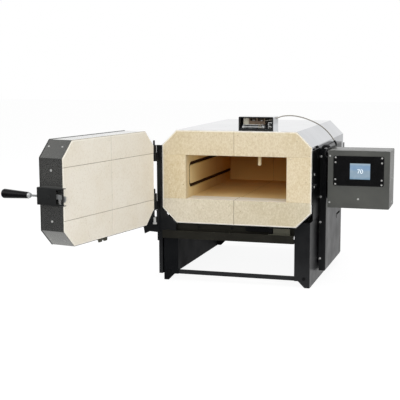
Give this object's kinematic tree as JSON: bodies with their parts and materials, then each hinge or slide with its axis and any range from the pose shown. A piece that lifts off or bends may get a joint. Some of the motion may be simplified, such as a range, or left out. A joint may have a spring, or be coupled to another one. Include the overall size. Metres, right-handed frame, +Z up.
{
  "type": "tempering oven",
  "caption": "Bench tempering oven: octagonal firebrick chamber in a stainless sleeve on a folded black stand, side-swinging brick door with lever latch, roof probe and side control box.",
  "frame": {"origin": "centre in X and Y of the whole rest-pose box, with the door open as pictured, at the bench surface the stand rests on", "axes": "+X to the right seen from the front, +Y from the chamber mouth to the back, +Z up"},
  "size_m": [0.8388, 0.9828, 0.4362],
  "materials": {
    "firebrick": "soft porous firebrick, chalky",
    "door_firebrick": "soft porous firebrick, clean and pale",
    "hot_firebrick": "firebrick in the chamber, in warm shade",
    "element_wire": "oxidised resistance wire",
    "glazed_insulator": "white glazed insulator",
    "terminal_steel": "plain steel",
    "polished_stainless": "bright stainless, nearly mirror smooth",
    "band_stainless": "stainless, lightly brushed",
    "sheath_ceramic": "brown ceramic tube",
    "terminal_bakelite": "brown moulded bakelite",
    "lead_grey": "grey braided sheath, satin",
    "cable_black": "black sleeving",
    "black_gloss": "gloss black powder coat",
    "black_powder": "fine textured black powder coat",
    "grey_powder": "textured dark grey powder coat",
    "faceplate_black": "black overlay",
    "screen_glass": "lit blue display behind a gloss window",
    "board_green": "green solder mask",
    "relay_black": "black moulded case",
    "fastener_steel": "zinc plated",
    "hinge_steel": "bright steel pin and washer",
    "latch_steel": "zinc plated steel",
    "switch_grey": "light grey paint",
    "grip_plastic": "black phenolic",
    "chrome_ferrule": "polished",
    "gland_nylon": "black nylon"
  },
  "bodies": {
    "cabinet": {"front_top_bricks": "firebrick", "front_bottom_bricks": "firebrick", "roof_bricks": "hot_firebrick", "floor_bricks": "hot_firebrick", "side_bricks_left": "hot_firebrick", "side_bricks_right": "hot_firebrick", "back_bricks": "hot_firebrick", "heating_elements": "element_wire", "element_bushings": "glazed_insulator", "terminal_posts": "terminal_steel", "case_wrap": "polished_stainless", "case_back": "polished_stainless", "rear_cover": "black_powder", "thermocouple_sheath": "sheath_ceramic", "terminal_strap": "terminal_steel", "terminal_hardware": "terminal_steel", "terminal_block": "terminal_bakelite", "probe_insulator": "glazed_insulator", "thermocouple_cover": "polished_stainless", "thermocouple_lead": "lead_grey", "lead_sleeve": "cable_black", "wiring_loom": "cable_black", "side_plate": "black_gloss", "cover_mounts": "black_powder", "wiring_cover": "black_powder", "cord_gland": "gland_nylon", "control_bracket": "black_powder", "control_box_shell": "grey_powder", "control_box_front": "grey_powder", "faceplate": "faceplate_black", "display_screen": "screen_glass", "circuit_board": "board_green", "power_relay": "relay_black", "case_screws": "fastener_steel", "stand_side_left": "black_powder", "stand_side_right": "black_powder", "stand_front_rail": "black_gloss", "stand_rear_rail": "black_powder", "stand_bars": "black_powder", "body_runners": "black_powder", "stand_screws": "fastener_steel", "hinge_post": "black_powder", "hinge_pins": "hinge_steel", "pivot_bracket": "black_powder", "pivot_bolt": "fastener_steel", "latch_keeper": "black_powder", "switch_bracket": "switch_grey"},
    "door": {"door_bricks": "door_firebrick", "door_band": "band_stainless", "door_back_plate": "black_powder", "door_hinge_arms": "black_powder", "switch_striker": "black_powder", "latch_housing": "black_powder", "latch_pin": "fastener_steel", "latch_spring": "fastener_steel", "door_screws": "fastener_steel"},
    "latch": {"latch_lever": "latch_steel", "handle_ferrule": "chrome_ferrule", "handle_grip": "grip_plastic"},
    "switch": {"switch_lever": "fastener_steel"}
  },
  "joints": [
    {"name": "door_hinge", "type": "hinge", "parent": "cabinet", "child": "door", "pos_m": [-0.18343, -0.06757, 0.25], "axis": [0, 0, 1], "range_deg": [-78.92, 101.08]},
    {"name": "latch_lift", "type": "hinge", "parent": "door", "child": "latch", "pos_m": [-0.28397, -0.47688, 0.273], "axis": [-0.1922, -0.9814, 0], "range_deg": [0, 16], "stiffness_Nm_per_rad": 1, "springref_deg": -17.19},
    {"name": "switch_press", "type": "hinge", "parent": "cabinet", "child": "switch", "pos_m": [0.12557, -0.05257, 0.14], "axis": [0, 0, -1], "range_deg": [0, 8], "stiffness_Nm_per_rad": 0.2, "springref_deg": -11.46}
  ]
}
